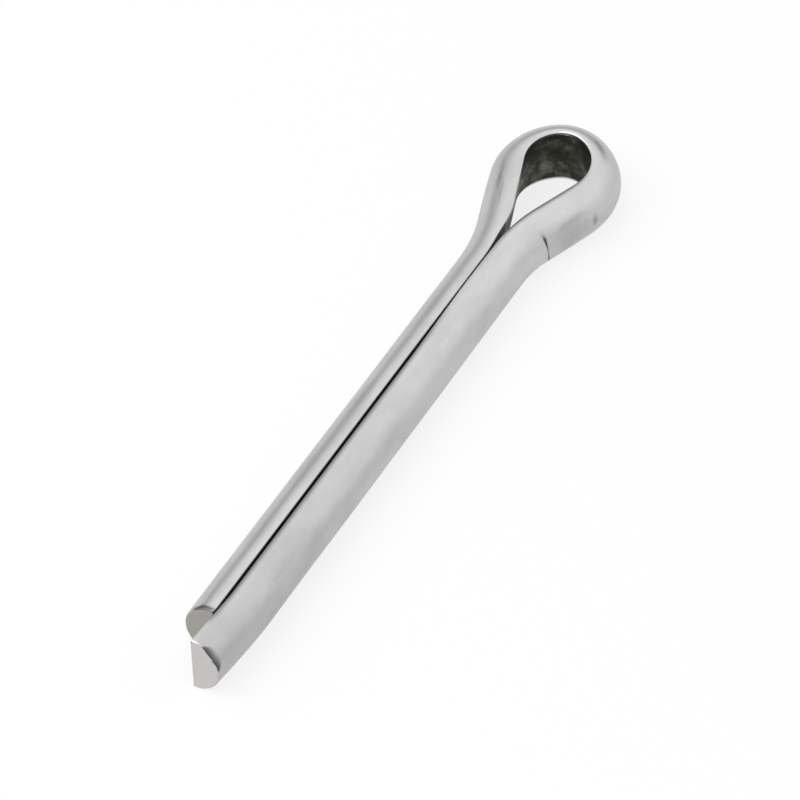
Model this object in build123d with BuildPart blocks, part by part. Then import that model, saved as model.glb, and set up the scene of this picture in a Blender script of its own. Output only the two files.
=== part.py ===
from build123d import *

"""Split pin (cotter pin) for a 5 mm hole, 40 mm long, bent from one length of half-round wire.

The wire is folded over itself: two legs lie flat against flat and together make a round shank, and the
bend between them is opened into an eye. One leg is longer than the other, so that the two can be prised
apart once the pin is through its hole.

Frame: millimetres, +Z up. The pin lies on its side, with the eye flat. The origin is on the shank's axis,
at the plane where the round shank ends and the short leg starts to leave it. +X runs along the shank
towards the eye. The split between the legs is the plane Y = 0, with the short leg on the +Y side.
"""

import os
from math import cos, radians, sin

# The round shank that the two legs make
shank_diameter = 4.5
shank_length = 35.7  # from the short leg's end to the origin
long_leg_extra = 2.7  # how far the long leg runs past the short one
leg_gap = 0.06  # between the flats of the two legs
edge_radius = 0.2  # the wire's two long edges, between its flat and its round side

# The wire's flat, from the short leg round the eye to the long leg, is a chain of tangent runs and arcs.
# Where the long leg's neck ends follows from the rest of the chain.
short_neck_radius = 17.0
short_neck_turn = 18.8  # degrees
short_flank_length = 4.35
eye_arcs = [(2.95, 74.0), (1.75, 58.0)]  # radius and turn of the arcs that begin the eye
eye_last_radius = 3.05  # the arc that ends the eye takes what is left of the turn
long_neck_radius = 11.75
long_neck_turn = 21.0

# The jaw that holds the wire while the eye is bent flattens the long leg's flank, deepest at its step
jaw_step_depth = 0.3
jaw_far_depth = 0.12
jaw_overlap = 1.0  # from the flank's end into the neck, where the step is
jaw_length = 4.4

# The shear squeezes the long leg's tip, and slopes off the upper quarter of its round side
squeeze_depth = 0.4  # at the very end
squeeze_length = 5.4
nick_depth = 0.35
nick_length = 0.8
nick_angle = 35.0  # from the wire's middle plane towards its upper edge, in degrees
end_edge_radius = 0.15  # the round side's edge, drawn over by the shear

shank_radius = shank_diameter / 2
half_gap = leg_gap / 2
long_leg_end = -shank_length - long_leg_extra

with BuildPart() as split_pin:
    with BuildLine() as flat_line:
        short_leg = Line((-shank_length, half_gap), (0, half_gap))
        short_neck = JernArc(short_leg @ 1, short_leg % 1, short_neck_radius, short_neck_turn)
        bend = PolarLine(short_neck @ 1, short_flank_length, direction=short_neck % 1)
        turned = 0
        for radius, turn in eye_arcs:
            bend = JernArc(bend @ 1, bend % 1, radius, -turn)
            turned += turn
        last_turn = 180 + short_neck_turn + long_neck_turn - turned
        bend = JernArc(bend @ 1, bend % 1, eye_last_radius, -last_turn)
        neck_rise = long_neck_radius * (1 - cos(radians(long_neck_turn)))
        long_flank_length = (-half_gap - neck_rise - (bend @ 1).Y) / (bend % 1).Y
        long_flank = PolarLine(bend @ 1, long_flank_length, direction=bend % 1)
        long_neck = JernArc(long_flank @ 1, long_flank % 1, long_neck_radius, long_neck_turn)
        Line(long_neck @ 1, (long_leg_end, -half_gap))

    # The half-round section, drawn at the short leg's end: the flat faces the split
    with BuildSketch(Plane(origin=short_leg @ 0, x_dir=(0, 1, 0), z_dir=(1, 0, 0))) as section:
        with Locations((-half_gap, 0)):
            Circle(shank_radius)
        with Locations((-shank_radius, 0)):
            Rectangle(2 * shank_radius, 2 * shank_diameter, mode=Mode.SUBTRACT)
        fillet(section.vertices(), edge_radius)
    sweep(path=flat_line.wires()[0])

    # The round edges of the two sheared ends
    end_faces = faces().filter_by(Axis.X).sort_by(Axis.X)[:2]
    round_edges = end_faces.edges().filter_by(GeomType.CIRCLE).filter_by(
        lambda edge: edge.radius > shank_radius - edge_radius
    )
    fillet(round_edges, end_edge_radius)

    # The long leg's slopes at the shear. In each sketch X is the pin's own X, and Y points out of the wire.
    for angle, depth, length in [(0, squeeze_depth, squeeze_length), (nick_angle, nick_depth, nick_length)]:
        outwards = Vector(0, -cos(radians(angle)), sin(radians(angle)))
        sloped = Plane(origin=(long_leg_end, 0, 0), x_dir=(1, 0, 0), z_dir=Vector(1, 0, 0).cross(outwards))
        with BuildSketch(sloped) as slope:
            with BuildLine():
                Polyline(
                    (length, shank_radius),
                    (-length, shank_radius - 2 * depth),
                    (-length, shank_diameter),
                    (length, shank_diameter),
                    close=True,
                )
            make_face()
        extrude(amount=shank_diameter, both=True, mode=Mode.SUBTRACT)

    # The jaw's mark. X runs up the flank from the neck, and Y points out of the wire's round side.
    along_flank = (long_flank % 1) * -1
    jaw_face = shank_radius - half_gap
    with BuildSketch(Plane(origin=long_flank @ 1, x_dir=along_flank, z_dir=(0, 0, -1))) as jaw_mark:
        with BuildLine():
            Polyline(
                (-jaw_overlap, jaw_face - jaw_step_depth),
                (jaw_length - jaw_overlap, jaw_face - jaw_far_depth),
                (jaw_length - jaw_overlap, shank_diameter),
                (-jaw_overlap, shank_diameter),
                close=True,
            )
        make_face()
    extrude(amount=shank_diameter, both=True, mode=Mode.SUBTRACT)

split_pin.part.label = "split_pin"
os.makedirs("parts", exist_ok=True)
export_step(split_pin.part, "parts/split_pin.step")

box = split_pin.part.bounding_box()
print("size", box.size, "from", box.min, "to", box.max)
print("volume", split_pin.part.volume, "length of wire", flat_line.wires()[0].length)
print("round shank ends on the long leg's side at", long_neck @ 1)
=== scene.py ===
from math import atan2, cos, exp, hypot, pi, radians, sin

import bmesh
import bpy
from mathutils import Matrix, Vector, noise


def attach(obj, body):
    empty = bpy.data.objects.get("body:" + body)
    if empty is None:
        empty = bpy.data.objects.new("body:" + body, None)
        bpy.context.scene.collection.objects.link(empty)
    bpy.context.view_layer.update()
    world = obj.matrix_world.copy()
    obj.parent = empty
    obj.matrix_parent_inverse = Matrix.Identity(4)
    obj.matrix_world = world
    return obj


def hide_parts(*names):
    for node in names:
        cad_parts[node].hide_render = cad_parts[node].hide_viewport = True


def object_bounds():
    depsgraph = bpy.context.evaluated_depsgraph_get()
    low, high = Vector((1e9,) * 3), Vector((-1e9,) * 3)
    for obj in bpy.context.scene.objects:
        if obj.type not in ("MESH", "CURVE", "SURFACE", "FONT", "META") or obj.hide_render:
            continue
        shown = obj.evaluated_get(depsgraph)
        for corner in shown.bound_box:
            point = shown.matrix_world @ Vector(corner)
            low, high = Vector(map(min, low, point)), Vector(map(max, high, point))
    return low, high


# A split pin for a 5 mm hole, folded from one length of half-round stainless wire. The wire is made
# straight, gets the marks of shear and jaw, and is then folded.

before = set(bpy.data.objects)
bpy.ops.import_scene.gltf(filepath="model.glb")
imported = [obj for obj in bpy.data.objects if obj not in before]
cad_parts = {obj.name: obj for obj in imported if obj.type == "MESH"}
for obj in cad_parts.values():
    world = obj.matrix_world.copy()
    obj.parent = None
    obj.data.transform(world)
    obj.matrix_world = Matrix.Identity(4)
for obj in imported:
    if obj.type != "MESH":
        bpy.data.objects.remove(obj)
cad_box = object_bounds()

MM = 0.001

# The half-round wire
SHANK_RADIUS = 2.25 * MM  # of the round shank that two legs make
HALF_GAP = 0.03 * MM  # from the split plane to each leg's flat
EDGE_RADIUS = 0.24 * MM
ROUND_SIDE = SHANK_RADIUS - HALF_GAP  # the round side's height above the flat

# The fold, along the flat
SHORT_LEG = 35.7 * MM
LONG_LEG_EXTRA = 2.7 * MM
SHORT_NECK_RADIUS = 17.0 * MM
SHORT_NECK_TURN = radians(18.8)
SHORT_FLANK = 4.35 * MM
EYE_ARCS = [(2.95 * MM, radians(74.0)), (1.75 * MM, radians(58.0))]
EYE_LAST_RADIUS = 3.05 * MM
LONG_NECK_RADIUS = 11.75 * MM
LONG_NECK_TURN = radians(21.0)


# ---------------------------------------------------------------- the fold

def fold_line():
    """The flat's line from the short leg's end to the long leg's, as runs of length and left turn."""
    runs = [
        (SHORT_LEG, 0.0),
        (SHORT_NECK_RADIUS * SHORT_NECK_TURN, SHORT_NECK_TURN),
        (SHORT_FLANK, 0.0),
    ]
    turned = 0.0
    for radius, turn in EYE_ARCS:
        runs.append((radius * turn, -turn))
        turned += turn
    last_turn = pi + SHORT_NECK_TURN + LONG_NECK_TURN - turned
    runs.append((EYE_LAST_RADIUS * last_turn, -last_turn))

    # The long flank reaches down to where its neck can still land on the other side of the split
    end, heading = walk(runs, sum(length for length, turn in runs))
    neck_rise = LONG_NECK_RADIUS * (1 - cos(LONG_NECK_TURN))
    runs.append(((-HALF_GAP - neck_rise - end.y) / sin(heading), 0.0))
    runs.append((LONG_NECK_RADIUS * LONG_NECK_TURN, LONG_NECK_TURN))
    end, heading = walk(runs, sum(length for length, turn in runs))
    runs.append((end.x + SHORT_LEG + LONG_LEG_EXTRA, 0.0))
    return runs


def walk(runs, distance):
    """The point and the heading of the flat's line at a distance along it."""
    point = Vector((-SHORT_LEG, HALF_GAP, 0))
    heading = 0.0
    for length, turn in runs:
        part = min(distance, length)
        share = part / length
        if turn:
            # A chord across the part of the arc that is walked
            half = turn * share / 2
            chord = part * sin(half) / half if half else part
            point = point + chord * Vector((cos(heading + half), sin(heading + half), 0))
        else:
            point = point + part * Vector((cos(heading), sin(heading), 0))
        heading += turn * share
        distance -= part
        if distance <= 0:
            break
    return point, heading


RUNS = fold_line()
WIRE_LENGTH = sum(length for length, turn in RUNS)
RUN_STARTS = [sum(length for length, turn in RUNS[:i]) for i in range(len(RUNS) + 1)]
EYE_START = RUN_STARTS[2]  # where the short neck ends
EYE_END = RUN_STARTS[7]  # where the long neck starts


# ---------------------------------------------------------------- the wire

SECTION_SEGMENTS = 96  # round the whole circle
FLAT_CUTS = 11
RING_SPACING = 0.15 * MM
END_ROLL = 0.12 * MM  # the rounded rim of the sheared ends
END_CUTS_UP, END_CUTS_ACROSS = 9, 17
NEXT_TO_NOTHING = 0.001 * MM


def drawn_wire():
    """A straight half-round wire from X = 0, with its flat on Y = 0 and its round side towards +Y."""
    bm = bmesh.new()
    upright = Matrix.Translation((0, -HALF_GAP, 0)) @ Matrix.Rotation(pi / 2, 4, "Y")
    bmesh.ops.create_circle(
        bm, cap_ends=True, segments=SECTION_SEGMENTS, radius=SHANK_RADIUS, matrix=upright
    )
    everything = bm.verts[:] + bm.edges[:] + bm.faces[:]
    bmesh.ops.bisect_plane(bm, geom=everything, plane_co=(0, 0, 0), plane_no=(0, 1, 0), clear_inner=True)
    corners = [v for v in bm.verts if abs(v.co.y) < NEXT_TO_NOTHING]
    bmesh.ops.bevel(
        bm, geom=corners, affect="VERTICES", offset=EDGE_RADIUS, segments=5, profile=0.5, material=-1
    )
    flat = max(bm.edges, key=lambda edge: edge.calc_length())
    bmesh.ops.subdivide_edges(bm, edges=[flat], cuts=FLAT_CUTS)

    bmesh.ops.spin(
        bm, geom=bm.faces[:], cent=(0, 0, 0), axis=(1, 0, 0), dvec=(WIRE_LENGTH, 0, 0), angle=0, steps=1,
        use_duplicate=False
    )
    bmesh.ops.recalc_face_normals(bm, faces=bm.faces[:])
    rims = [e for e in bm.edges if abs(e.verts[0].co.x - e.verts[1].co.x) < NEXT_TO_NOTHING]
    bmesh.ops.bevel(bm, geom=rims, affect="EDGES", offset=END_ROLL, segments=4, profile=0.5, material=-1)
    long_edges = [e for e in bm.edges if e.calc_length() > WIRE_LENGTH / 2]
    rings = int(WIRE_LENGTH / RING_SPACING)
    bmesh.ops.subdivide_edges(bm, edges=long_edges, cuts=rings, use_grid_fill=True)

    # Each end face is cut into a grid, so that its unevenness can be shaped
    for across, cuts, start, reach in (
        ((0, 1, 0), END_CUTS_UP, 0, ROUND_SIDE),
        ((0, 0, 1), END_CUTS_ACROSS, -SHANK_RADIUS, 2 * SHANK_RADIUS),
    ):
        for i in range(1, cuts + 1):
            away = reach * i / (cuts + 1) + start
            ends = [f for f in bm.faces if abs(f.normal.x) > 0.999]
            geom = set(ends) | {e for f in ends for e in f.edges} | {v for f in ends for v in f.verts}
            bmesh.ops.bisect_plane(bm, geom=list(geom), plane_co=Vector(across) * away, plane_no=across)
    bmesh.ops.remove_doubles(bm, verts=bm.verts[:], dist=NEXT_TO_NOTHING)
    return bm


def crowd_rings(bm, centre, tightness, width):
    """Draws the rings round the wire together near a place that has fine marks."""
    for v in bm.verts:
        away = v.co.x - centre
        v.co.x -= tightness * away * bump_shape(away, 0, width)


def share_of(value, start, end):
    return min(1.0, max(0.0, (value - start) / (end - start)))


def smooth_step(value, start, end):
    share = share_of(value, start, end)
    return share * share * (3 - 2 * share)


def stretch(value, start, full, fading, end):
    """1 from full to fading, and 0 before start and after end."""
    return smooth_step(value, start, full) * (1 - smooth_step(value, fading, end))


def bump_shape(value, centre, width):
    return exp(-(((value - centre) / width) ** 2))


def press(co, outwards, depth, softness):
    """Flattens the round side across the direction outwards, down to a plane that lies depth under it."""
    above = (co - Vector((co.x, -HALF_GAP, 0))).dot(outwards) - (SHANK_RADIUS - depth)
    if above > -softness:
        # A soft knee in place of a sharp edge round the flattened area
        pressed = above if above > softness else (above + softness) ** 2 / (4 * softness)
        co -= pressed * outwards


# The marks of the making, placed along the straight wire
SQUEEZE_LENGTH = 5.4 * MM
SQUEEZE_SHARE = 0.11  # how much thinner the long leg's end is than the wire
SQUEEZE_BEND = 0.2 * MM  # how far its flat is pushed past the split plane
NICK_DEPTH = 0.36 * MM
NICK_LENGTH = 0.75 * MM
NICK_ANGLE = radians(35)
JAW_STEP_DEPTH = 0.26 * MM
JAW_FAR_DEPTH = 0.1 * MM
JAW_STEP = RUN_STARTS[7] + 0.85 * MM
JAW_LENGTH = 4.4 * MM
JAW_LEAN = 0.2  # how far the step's line leans along the wire for its height
JAW_BULGE = 0.09 * MM  # the metal that the jaw drives out above and below
JAW_SCORE = 0.13 * MM  # the line that its edge cuts along the step
EYE_THINNING = 0.075  # bending draws the wire thinner
NECK_TWIST = radians(8)  # the short leg's flank leans in over the eye
JAW_FAR_DENT = 0.06 * MM  # a second, fainter mark at the jaw's far end
JAW_FADE = 1 * MM  # how far past its two ends the jaw moves metal
EDGE_DROP = 0.21 * MM  # how far the long leg's edges along the split are rolled down
EDGE_ROLL = 0.8 * MM  # and how far in from the flat that begins
RIM_DROP = 0.1 * MM  # the same for the rim of the eye
RIM_ROLL = 0.36 * MM
ROUGH_DEPTH = 0.05 * MM  # of the sheared faces
ROUGH_SIZE = 0.45 * MM

# Stretches of the wire, from its short end
SHORT_FLANK_TWISTED = (37.6 * MM, 41 * MM, 45.5 * MM, 49.5 * MM)
EYE_RIM_WORN = (44 * MM, 48 * MM, 54 * MM, 57 * MM)
LONG_EDGES_ROLLED = (53 * MM, 57 * MM)
TIP_LESS_ROLLED = (99 * MM, 102 * MM)
LESS_ROLLED_AT, LESS_ROLLED_WIDTH = 68.5 * MM, 4 * MM  # beside the eye
PRESSED_AT, PRESSED_WIDTH = (34.5 * MM, 65 * MM), 5 * MM  # where the legs press on each other, by the eye


def squeeze_tip(co, from_tip):
    """The shear thins the long leg's end, slopes off a corner, and bends it a little across the split."""
    if from_tip < SQUEEZE_LENGTH:
        squeezed = 1 - from_tip / SQUEEZE_LENGTH
        co.y *= 1 - SQUEEZE_SHARE * squeezed
        if from_tip < NICK_LENGTH:
            upper = Vector((0, cos(NICK_ANGLE), sin(NICK_ANGLE)))
            press(co, upper, NICK_DEPTH * (1 - from_tip / NICK_LENGTH), 0.01 * MM)
        co.y -= SQUEEZE_BEND * squeezed ** 2


def press_jaw(co, s, angle):
    """The jaw's flat on the long flank, deepest at its step, whose line runs a little askew."""
    step = JAW_STEP + JAW_LEAN * co.z
    far_end = step - JAW_LENGTH
    if co.y <= 0.3 * MM or not far_end - JAW_FADE < s < step + JAW_FADE:
        return
    out = Vector((0, co.y, co.z)).normalized()

    # Metal driven out above and below the flat
    bulge = bump_shape(angle, radians(50), radians(15))
    bulge += bump_shape(angle, radians(-52), radians(16))
    bulge *= smooth_step(s, far_end - JAW_FADE, far_end + 0.8 * MM)
    bulge *= 1 - smooth_step(s, step - 0.05 * MM, step + 0.9 * MM)
    co += JAW_BULGE * bulge * out

    if far_end < s:
        depth = JAW_FAR_DEPTH + (JAW_STEP_DEPTH - JAW_FAR_DEPTH) * (s - far_end) / JAW_LENGTH
        depth *= smooth_step(s, far_end, far_end + 0.6 * MM)
        depth *= 1 - smooth_step(s, step - 0.02 * MM, step + 0.06 * MM)
        press(co, Vector((0, 1, 0)), depth, 0.05 * MM)

    score = bump_shape(s, step, 0.11 * MM) * bump_shape(angle, radians(-3), radians(44))
    co -= JAW_SCORE * min(1.0, 1.6 * score) * out
    dent = bump_shape(s, far_end + 0.15 * MM, 0.12 * MM) * bump_shape(co.z, 0.15 * MM, 0.5 * MM)
    co -= JAW_FAR_DENT * dent * out


def roll_edges(co, s):
    """Rolls down the long leg's edges along the split, and the rim of the eye."""
    above_flat = max(0.0, co.y)
    near_edge = smooth_step(abs(co.z), 1.0 * MM, 1.9 * MM)
    rolled = max(0.0, 1 - above_flat / EDGE_ROLL) ** 2 * near_edge * smooth_step(s, *LONG_EDGES_ROLLED)
    rolled *= 1 - 0.65 * bump_shape(s, LESS_ROLLED_AT, LESS_ROLLED_WIDTH)
    rolled *= 1 - 0.8 * smooth_step(s, *TIP_LESS_ROLLED)
    worn = max(0.0, 1 - above_flat / RIM_ROLL) ** 2 * near_edge * stretch(s, *EYE_RIM_WORN)
    co.z -= (EDGE_DROP * rolled + RIM_DROP * worn) * (1 if co.z > 0 else -1)


def mark_wire(bm):
    """Gives the straight wire the marks of shear and jaw, and what bending does to its section."""
    for v in bm.verts:
        co = v.co
        s = co.x
        from_tip = WIRE_LENGTH - s
        angle = atan2(co.z, co.y + HALF_GAP)
        squeeze_tip(co, from_tip)
        press_jaw(co, s, angle)
        co.y *= 1 - EYE_THINNING * sin(pi * share_of(s, EYE_START, EYE_END)) ** 2
        roll_edges(co, s)
        co.y -= 0.75 * HALF_GAP * sum(bump_shape(s, place, PRESSED_WIDTH) for place in PRESSED_AT)

        twist = NECK_TWIST * stretch(s, *SHORT_FLANK_TWISTED)
        if twist:
            co.y, co.z = co.y * cos(twist) - co.z * sin(twist), co.z * cos(twist) + co.y * sin(twist)

        # The sheared faces are rough, but not at their rims
        if from_tip < 0.01 * MM or s < 0.01 * MM:
            inside = max(0.0, 1 - hypot(co.y - 0.9 * MM, co.z) / (1.9 * MM))
            at = Vector((co.y, co.z, s)) / ROUGH_SIZE
            co.x += noise.noise(at) * ROUGH_DEPTH * min(1.0, 3 * inside)


def uneven(bm, height, size, seed):
    """The slight waves of a tumbled wire, along the normals of its round side."""
    bm.normal_update()
    moves = []
    for v in bm.verts:
        at = Vector((v.co.x / (3 * size), v.co.y / size, v.co.z / size + seed))
        moves.append(height * noise.noise(at) * smooth_step(v.co.y, 0.1 * MM, 1.0 * MM))
    for v, move in zip(bm.verts, moves):
        v.co += move * v.normal


def fold(bm):
    """Folds the straight wire along the fold line."""
    for v in bm.verts:
        distance = min(max(v.co.x, 0.0), WIRE_LENGTH)
        point, heading = walk(RUNS, distance)
        along = Vector((cos(heading), sin(heading), 0))
        out = Vector((-sin(heading), cos(heading), 0))
        v.co = point + v.co.y * out + Vector((0, 0, v.co.z)) + (v.co.x - distance) * along


def split_pin():
    bm = drawn_wire()
    crowd_rings(bm, JAW_STEP, 0.7, 1.2 * MM)
    straight = bm.verts.layers.float_vector.new("straight")
    for v in bm.verts:
        v[straight] = v.co / MM
    ends = [f for f in bm.faces if abs(f.normal.x) > 0.9]
    flats = [f for f in bm.faces if f.normal.y < -0.99]
    mark_wire(bm)
    uneven(bm, 0.02 * MM, 2.5 * MM, 3.1)
    for f in bm.faces:
        f.smooth = True
        f.material_index = 0
    fold(bm)
    for f in flats:
        f.material_index = 1
    for f in ends:
        f.material_index = 2
    mesh = bpy.data.meshes.new("folded_wire")
    bm.to_mesh(mesh)
    bm.free()
    piece = bpy.data.objects.new("folded_wire", mesh)
    bpy.context.scene.collection.objects.link(piece)
    return piece


# ---------------------------------------------------------------- finishes

class Wiring:
    """Adds and links the nodes of one tree."""

    def __init__(self, tree):
        self.nodes, self.links = tree.nodes, tree.links

    def add(self, kind, settings=None, **values):
        node = self.nodes.new(kind)
        for name, value in (settings or {}).items():
            setattr(node, name, value)
        for name, value in values.items():
            self.put(node.inputs[name], value)
        return node

    def put(self, socket, value):
        if isinstance(value, bpy.types.NodeSocket):
            self.links.new(value, socket)
        else:
            socket.default_value = value

    def math(self, operation, first, second=0.0, third=0.0, clamp=False):
        node = self.nodes.new("ShaderNodeMath")
        node.operation, node.use_clamp = operation, clamp
        for socket, value in zip(node.inputs, (first, second, third)):
            self.put(socket, value)
        return node.outputs[0]

    def vector(self, operation, first, second=(0, 0, 0)):
        node = self.nodes.new("ShaderNodeVectorMath")
        node.operation = operation
        self.put(node.inputs[0], first)
        self.put(node.inputs[1], second)
        return node.outputs["Value" if operation in ("LENGTH", "DOT_PRODUCT") else "Vector"]

    def ramp(self, value, start, end, low=0.0, high=1.0):
        node = self.add("ShaderNodeMapRange", {"interpolation_type": "SMOOTHSTEP"})
        names = ("Value", "From Min", "From Max", "To Min", "To Max")
        for name, number in zip(names, (value, start, end, low, high)):
            self.put(node.inputs[name], number)
        return node.outputs["Result"]

    def mix(self, factor, first, second):
        node = self.add("ShaderNodeMix", {"data_type": "RGBA"})
        self.put(node.inputs["Factor"], factor)
        for socket, value in ((node.inputs[6], first), (node.inputs[7], second)):
            self.put(socket, value)
        return node.outputs[2]

    def noise(self, place, scale, detail=2.0, roughness=0.5):
        node = self.add("ShaderNodeTexNoise", Scale=scale, Detail=detail, Roughness=roughness)
        self.put(node.inputs["Vector"], place)
        return node.outputs["Fac"]

    def group(self, tree, **values):
        node = self.nodes.new("ShaderNodeGroup")
        node.node_tree = tree
        for name, value in values.items():
            self.put(node.inputs[name.replace("_", " ")], value)
        return node.outputs


def new_group(name, inputs, outputs):
    """A shader node group, with its wiring, its inputs' sockets and its output node."""
    tree = bpy.data.node_groups.new(name, "ShaderNodeTree")
    for label, kind, value in inputs:
        socket = tree.interface.new_socket(label, in_out="INPUT", socket_type=kind)
        if value is not None:
            socket.default_value = value
    for label, kind in outputs:
        tree.interface.new_socket(label, in_out="OUTPUT", socket_type=kind)
    wiring = Wiring(tree)
    return tree, wiring, wiring.add("NodeGroupInput").outputs, wiring.add("NodeGroupOutput").inputs


def drawing_lines():
    """The fine lines that the drawing die leaves along the wire."""
    tree, wiring, inputs, outputs = new_group(
        "drawing_lines",
        [("Place", "NodeSocketVector", None), ("Fineness", "NodeSocketFloat", 9.0)],
        [("Lines", "NodeSocketFloat")],
    )
    along = wiring.vector("MULTIPLY", inputs["Place"], (0.035, 1.0, 1.0))
    fine = wiring.noise(along, inputs["Fineness"], 3.0, 0.7)
    broken = wiring.noise(wiring.vector("MULTIPLY", inputs["Place"], (0.12, 0.6, 0.6)), 1.6, 1.0)
    wiring.put(outputs["Lines"], wiring.math("MULTIPLY", fine, wiring.ramp(broken, 0.3, 0.7, 0.35, 1.0)))
    return tree


def handling_marks():
    """Scuffs and small pits from tumbling the finished pins together."""
    tree, wiring, inputs, outputs = new_group(
        "handling_marks",
        [("Place", "NodeSocketVector", None), ("Scale", "NodeSocketFloat", 1.0)],
        [("Cloud", "NodeSocketFloat"), ("Scuffs", "NodeSocketFloat"), ("Pits", "NodeSocketFloat")],
    )
    place = wiring.vector("SCALE", inputs["Place"])
    wiring.put(place.node.inputs["Scale"], inputs["Scale"])
    cloud = wiring.noise(wiring.vector("MULTIPLY", place, (0.28, 0.7, 0.7)), 0.9, 4.0, 0.55)
    turned = wiring.add(
        "ShaderNodeMapping", Vector=place, Rotation=(0.4, 0.9, 0.7), Scale=(0.5, 4.0, 1.2)
    )
    scuffs = wiring.noise(turned.outputs[0], 2.6, 3.0, 0.6)
    wiring.put(outputs["Cloud"], cloud)
    wiring.put(outputs["Scuffs"], wiring.ramp(scuffs, 0.6, 0.74))
    wiring.put(outputs["Pits"], wiring.ramp(wiring.noise(place, 6.0, 2.0, 0.6), 0.62, 0.78))
    return tree


STAIN_RIM = 1.25  # in reaches from its centre, with what makes it ragged


def stain():
    """A soft stain round one place on the wire."""
    tree, wiring, inputs, outputs = new_group(
        "stain",
        [("Place", "NodeSocketVector", None), ("Centre", "NodeSocketVector", None),
         ("Reach", "NodeSocketVector", None), ("Softness", "NodeSocketFloat", 0.8)],
        [("Mask", "NodeSocketFloat")],
    )
    away = wiring.vector("SUBTRACT", inputs["Place"], inputs["Centre"])
    away = wiring.vector("DIVIDE", away, inputs["Reach"])
    ragged = wiring.noise(inputs["Place"], 1.7, 3.0, 0.6)
    distance = wiring.math("ADD", wiring.vector("LENGTH", away), wiring.math("MULTIPLY", ragged, 0.7))
    inner = wiring.math("SUBTRACT", STAIN_RIM, inputs["Softness"])
    wiring.put(outputs["Mask"], wiring.ramp(distance, inner, STAIN_RIM, 1.0, 0.0))
    return tree


def new_steel(name):
    """A metal, with its wiring, shader sockets and place on the straight wire in millimetres."""
    material = bpy.data.materials.new(name)
    material.use_nodes = True
    shader = material.node_tree.nodes["Principled BSDF"]
    shader.inputs["Metallic"].default_value = 1.0
    wiring = Wiring(material.node_tree)
    place = wiring.add("ShaderNodeAttribute", {"attribute_name": "straight"}).outputs["Vector"]
    return material, wiring, shader.inputs, place


# What bending, shearing and tumbling left dull or dark on the round side: the centre and the reach on the
# straight wire in millimetres, the softness, the strength and the colour
STAINS = [
    ((44.0, 1.40, 1.75), (2.2, 0.30, 0.35), 1.0, 0.50, (0.24, 0.24, 0.24, 1)),
    ((42.0, 1.10, 1.92), (2.4, 0.24, 0.30), 1.0, 0.45, (0.28, 0.28, 0.28, 1)),
    ((52.3, 0.95, 2.00), (1.5, 0.42, 0.50), 1.0, 0.60, (0.20, 0.20, 0.21, 1)),
    ((95.0, 1.60, 1.50), (3.0, 0.55, 0.55), 1.1, 0.35, (0.42, 0.38, 0.38, 1)),
    ((21.0, 0.80, 2.05), (3.0, 0.60, 0.60), 1.1, 0.40, (0.50, 0.50, 0.58, 1)),
    ((58.2, 2.15, -0.10), (3.4, 1.60, 2.30), 0.9, 0.50, (0.44, 0.42, 0.42, 1)),
    ((57.9, 1.85, 1.15), (2.2, 0.60, 0.45), 1.0, 0.50, (0.34, 0.33, 0.34, 1)),
    ((56.0, 2.10, 0.15), (0.30, 0.80, 0.85), 0.8, 0.60, (0.22, 0.21, 0.21, 1)),
    ((0.00, 0.80, 2.05), (0.55, 1.70, 0.80), 0.5, 0.95, (0.14, 0.135, 0.13, 1)),
]


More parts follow.
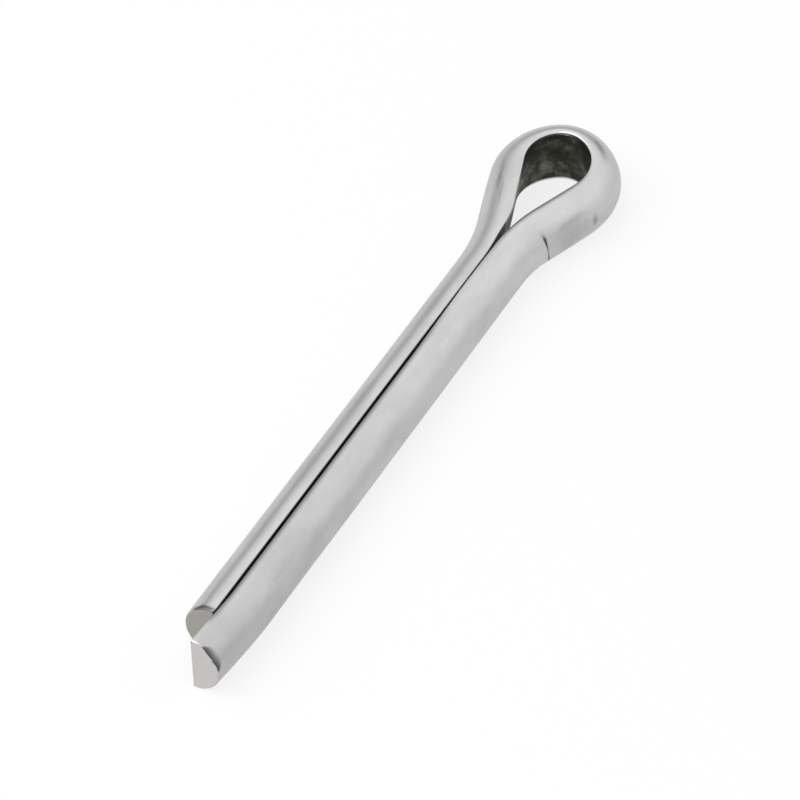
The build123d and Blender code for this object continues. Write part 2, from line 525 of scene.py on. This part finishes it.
def bright_steel(lines, marks, stains):
    """The drawn round side, tumbled bright."""
    material, wiring, shader, place = new_steel("bright_steel")
    drawn = wiring.group(lines, Place=place, Fineness=9.0)["Lines"]
    worn = wiring.group(marks, Place=place, Scale=1.0)

    cloud = wiring.ramp(worn["Cloud"], 0.3, 0.7)
    colour = wiring.mix(cloud, (0.68, 0.68, 0.675, 1), (0.60, 0.60, 0.605, 1))
    colour = wiring.mix(wiring.math("MULTIPLY", worn["Scuffs"], 0.12), colour, (0.42, 0.42, 0.42, 1))
    for centre, reach, softness, strength, tone in STAINS:
        mask = wiring.group(stains, Place=place, Centre=centre, Reach=reach, Softness=softness)["Mask"]
        colour = wiring.mix(wiring.math("MULTIPLY", mask, strength), colour, tone)

    along, outward, upward = wiring.add("ShaderNodeSeparateXYZ", Vector=place).outputs
    # Painted shade: the line that the jaw's edge has cut is coloured near black, standing in for the
    # shade in the crease at the step
    from_step = wiring.math("SUBTRACT", along, JAW_STEP / MM)
    from_step = wiring.math("MULTIPLY_ADD", upward, -JAW_LEAN, from_step)
    step_shade = wiring.ramp(wiring.math("ABSOLUTE", from_step), 0.07, 0.23, 1.0, 0.0)
    step_shade = wiring.math("MULTIPLY", step_shade, wiring.ramp(upward, 1.5, 1.0, 0.0, 1.0))
    step_shade = wiring.math("MULTIPLY", step_shade, wiring.ramp(upward, -1.7, -1.0))
    step_shade = wiring.math("MULTIPLY", step_shade, wiring.ramp(outward, 0.6, 1.2))
    colour = wiring.mix(wiring.math("MULTIPLY", step_shade, 0.9), colour, (0.05, 0.05, 0.045, 1))
    # The facet that the shear tore off the long leg's tip is dark: partly its torn face, partly painted
    # shade for the self-shadowing of the rough tear
    from_tip = wiring.math("SUBTRACT", WIRE_LENGTH / MM, along)
    above = wiring.vector("DOT_PRODUCT", place, (0, cos(NICK_ANGLE), sin(NICK_ANGLE)))
    above = wiring.math("SUBTRACT", above, (SHANK_RADIUS - HALF_GAP - NICK_DEPTH) / MM)
    above = wiring.math("MULTIPLY_ADD", from_tip, -NICK_DEPTH / NICK_LENGTH, above)
    torn = wiring.ramp(from_tip, 0.65, 0.05, 0.0, 1.0)
    torn = wiring.math("MULTIPLY", wiring.ramp(above, -0.03, 0.12), torn)
    colour = wiring.mix(wiring.math("MULTIPLY", torn, 0.9), colour, (0.045, 0.045, 0.045, 1))
    # Painted shade along the split: the long leg is coloured darker next to its flat, where shade falls
    # between the legs, less so beside the eye and not at the tip
    split = wiring.math("MULTIPLY", wiring.ramp(outward, 0.0, 0.55, 1.0, 0.0), wiring.ramp(along, 54, 57))
    split = wiring.math("MULTIPLY", split, wiring.ramp(along, 102.5, 101, 0.0, 1.0))
    past_eye = wiring.ramp(along, 70, 76, 0.3, 1.0)
    beside_eye = wiring.math("MAXIMUM", wiring.ramp(along, 61, 65, 1.0, 0.3), past_eye)
    split = wiring.math("MULTIPLY", split, beside_eye)
    colour = wiring.mix(wiring.math("MULTIPLY", split, 0.75), colour, (0.13, 0.13, 0.125, 1))
    # The long leg is coloured darker towards its end
    darker_to_end = wiring.math("MULTIPLY", wiring.ramp(along, 72, 102), 0.16)
    colour = wiring.mix(darker_to_end, colour, (0.15, 0.148, 0.145, 1))
    wiring.put(shader["Base Color"], colour)

    rough = wiring.math("MULTIPLY_ADD", worn["Cloud"], 0.16, 0.17)
    rough = wiring.math("MULTIPLY_ADD", worn["Scuffs"], 0.14, rough)
    wiring.put(shader["Roughness"], wiring.math("MULTIPLY_ADD", drawn, 0.08, rough))

    height = wiring.math("MULTIPLY_ADD", worn["Scuffs"], -0.25, drawn)
    height = wiring.math("MULTIPLY_ADD", worn["Pits"], -0.35, height)
    bump = wiring.add("ShaderNodeBump", Height=height, Strength=0.22, Distance=0.00003)
    wiring.put(shader["Normal"], bump.outputs["Normal"])
    return material


def scale_and_shade_steel(lines, marks):
    """The flat, which the tumbling barely reaches: scaled dark by the drawing, worn through in patches;
    its near-black colour is also painted shade for the shaded inside of the eye and the split.
    """
    material, wiring, shader, place = new_steel("scale_and_shade_steel")
    drawn = wiring.group(lines, Place=place, Fineness=6.0)["Lines"]
    worn = wiring.group(marks, Place=place, Scale=1.6)
    patches = wiring.noise(wiring.vector("MULTIPLY", place, (0.9, 1.0, 0.8)), 0.75, 5.0, 0.65)
    thin = wiring.ramp(patches, 0.44, 0.66)

    # Painted shade: the scale's near-black colour also stands in for the shade inside the eye and along
    # the split
    scale = wiring.mix(worn["Cloud"], (0.016, 0.017, 0.013, 1), (0.070, 0.074, 0.054, 1))
    bare = wiring.mix(worn["Scuffs"], (0.15, 0.155, 0.125, 1), (0.32, 0.32, 0.28, 1))
    wiring.put(shader["Base Color"], wiring.mix(thin, scale, bare))
    wiring.put(shader["Roughness"], wiring.math("MULTIPLY_ADD", thin, -0.14, 0.52))

    height = wiring.math("MULTIPLY_ADD", patches, 0.8, drawn)
    height = wiring.math("MULTIPLY_ADD", worn["Pits"], -0.5, height)
    bump = wiring.add("ShaderNodeBump", Height=height, Strength=0.5, Distance=0.00005)
    wiring.put(shader["Normal"], bump.outputs["Normal"])
    return material


def sheared_steel(marks):
    """The ends, as the shear leaves them: smeared by the blade, then torn."""
    material, wiring, shader, place = new_steel("sheared_steel")
    worn = wiring.group(marks, Place=place, Scale=2.2)
    smear = wiring.noise(wiring.vector("MULTIPLY", place, (0.2, 0.6, 5.0)), 1.6, 3.0, 0.6)
    short_end = wiring.ramp(wiring.add("ShaderNodeSeparateXYZ", Vector=place).outputs["X"], 1, 50)
    colour = wiring.mix(smear, (0.67, 0.645, 0.64, 1), (0.77, 0.745, 0.74, 1))
    olive = wiring.mix(smear, (0.40, 0.385, 0.35, 1), (0.54, 0.52, 0.47, 1))
    colour = wiring.mix(short_end, olive, colour)
    colour = wiring.mix(wiring.math("MULTIPLY", worn["Scuffs"], 0.35), colour, (0.34, 0.33, 0.31, 1))
    wiring.put(shader["Base Color"], colour)
    wiring.put(shader["Roughness"], wiring.math("MULTIPLY_ADD", worn["Cloud"], 0.2, 0.32))
    height = wiring.math("ADD", smear, worn["Pits"])
    bump = wiring.add("ShaderNodeBump", Height=height, Strength=0.4, Distance=0.00005)
    wiring.put(shader["Normal"], bump.outputs["Normal"])
    return material


# ---------------------------------------------------------------- the studio

def seen_rays(wiring, reflected=1.0):
    """1 for rays from the camera, and the value of reflected for those that mirror the background."""
    path = wiring.add("ShaderNodeLightPath").outputs
    mirrored = wiring.math("MAXIMUM", path["Is Glossy Ray"], path["Is Transmission Ray"])
    return wiring.math("MAXIMUM", path["Is Camera Ray"], wiring.math("MULTIPLY", mirrored, reflected))


CARD_TURN = radians(36)  # the middle of the grey card behind the pin, from +X towards +Y
CARD_HEIGHT = 0.22  # of the card's middle and of its half, as sines of their elevation
CARD_HALF = 0.2
CARD_TONE = 0.42
PLAIN_LEVEL = 0.62  # of the light that the surroundings throw on matt things
FLOOR_SIZE = 2.0
FLOOR_GLOW = 0.8  # the part of the floor's white that is its own, where it is seen
REFLECTED_GLOW = 0.74  # how much of that glow shows in the metal


def surroundings():
    """White all round, with a soft grey card low behind the pin."""
    world = bpy.data.worlds.new("studio")
    bpy.context.scene.world = world
    world.use_nodes = True
    wiring = Wiring(world.node_tree)
    background = world.node_tree.nodes["Background"]
    towards = wiring.add("ShaderNodeTexCoord").outputs["Generated"]
    height = wiring.add("ShaderNodeSeparateXYZ", Vector=towards).outputs["Z"]
    from_card = wiring.math("DIVIDE", wiring.math("SUBTRACT", height, CARD_HEIGHT), CARD_HALF)
    squared = wiring.math("MULTIPLY", from_card, from_card)
    low = wiring.math("EXPONENT", wiring.math("MULTIPLY", squared, -1.0))
    facing = wiring.vector("DOT_PRODUCT", towards, (cos(CARD_TURN), sin(CARD_TURN), 0))
    card = wiring.math("MULTIPLY", low, wiring.ramp(facing, 0.5, 0.85))
    walls = wiring.ramp(height, -0.05, 0.6, 0.88, 1.02)
    walls = wiring.mix(card, walls, (CARD_TONE, CARD_TONE, CARD_TONE, 1))
    camera_ray = wiring.add("ShaderNodeLightPath").outputs["Is Camera Ray"]
    seen = wiring.mix(camera_ray, walls, (1, 1, 1, 1))
    plain = (PLAIN_LEVEL, PLAIN_LEVEL, PLAIN_LEVEL, 1)
    wiring.put(background.inputs["Color"], wiring.mix(seen_rays(wiring), plain, seen))


def white_floor():
    bm = bmesh.new()
    at = Matrix.Translation((0, 0, cad_box[0].z))
    bmesh.ops.create_grid(bm, x_segments=1, y_segments=1, size=FLOOR_SIZE, matrix=at)
    mesh = bpy.data.meshes.new("floor")
    bm.to_mesh(mesh)
    bm.free()
    floor = bpy.data.objects.new("floor", mesh)
    bpy.context.scene.collection.objects.link(floor)
    paper = bpy.data.materials.new("white_paper")
    paper.use_nodes = True
    wiring = Wiring(paper.node_tree)
    shader = paper.node_tree.nodes["Principled BSDF"].inputs
    shader["Roughness"].default_value = 0.9
    shader["Specular IOR Level"].default_value = 0.0
    shade = 1 - FLOOR_GLOW
    colour = wiring.mix(seen_rays(wiring), (0.85, 0.85, 0.85, 1), (shade, shade, shade, 1))
    wiring.put(shader["Base Color"], colour)
    shader["Emission Color"].default_value = (1, 1, 1, 1)
    glow = wiring.math("MULTIPLY", seen_rays(wiring, REFLECTED_GLOW), FLOOR_GLOW)
    wiring.put(shader["Emission Strength"], glow)
    mesh.materials.append(paper)


def softbox(name, place, size, radiance):
    """A square lamp that faces the pin. Its radiance is what a mirror would show of it."""
    data = bpy.data.lights.new(name, "AREA")
    data.shape = "SQUARE"
    data.size = size
    data.energy = radiance * pi * size * size
    lamp = bpy.data.objects.new(name, data)
    bpy.context.scene.collection.objects.link(lamp)
    lamp.location = place
    lamp.rotation_euler = (-Vector(place)).to_track_quat("-Z", "Y").to_euler()


# ---------------------------------------------------------------- the camera

VIEW_AZIMUTH = radians(60.06)  # the camera looks this far round from +Y towards +X
VIEW_DROP = radians(46.43)
VIEW_ROLL = radians(-1.49)
VIEW_DISTANCE = 314.1 * MM
VIEW_TARGET = Vector((-12.44, 0, 0)) * MM
VIEW_SHIFT = Vector((0.341, -0.12)) * MM  # of the picture's middle from the target, right and up
LENS = 215.3


def camera():
    away = Vector((sin(VIEW_AZIMUTH), cos(VIEW_AZIMUTH), 0))
    level = Vector((cos(VIEW_AZIMUTH), -sin(VIEW_AZIMUTH), 0))
    forward = away * cos(VIEW_DROP) - Vector((0, 0, sin(VIEW_DROP)))
    top = away * sin(VIEW_DROP) + Vector((0, 0, cos(VIEW_DROP)))
    right = level * cos(VIEW_ROLL) + top * sin(VIEW_ROLL)
    up = top * cos(VIEW_ROLL) - level * sin(VIEW_ROLL)
    data = bpy.data.cameras.new("camera")
    data.lens = LENS
    data.sensor_width = 36
    data.clip_start = 0.01
    data.clip_end = 10
    body = bpy.data.objects.new("camera", data)
    place = Matrix((right, up, -forward)).transposed().to_4x4()
    place.translation = VIEW_TARGET + right * VIEW_SHIFT.x + up * VIEW_SHIFT.y - forward * VIEW_DISTANCE
    body.matrix_world = place
    bpy.context.scene.collection.objects.link(body)
    bpy.context.scene.camera = body


camera()
surroundings()
white_floor()
softbox("side_softbox", (-0.17, 0.17, 0.42), 0.55, 1.5)

pin = split_pin()
lines, marks = drawing_lines(), handling_marks()
pin.data.materials.append(bright_steel(lines, marks, stain()))
pin.data.materials.append(scale_and_shade_steel(lines, marks))
pin.data.materials.append(sheared_steel(marks))
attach(pin, "root")
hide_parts("split_pin")

bpy.context.scene.view_settings.view_transform = "Standard"
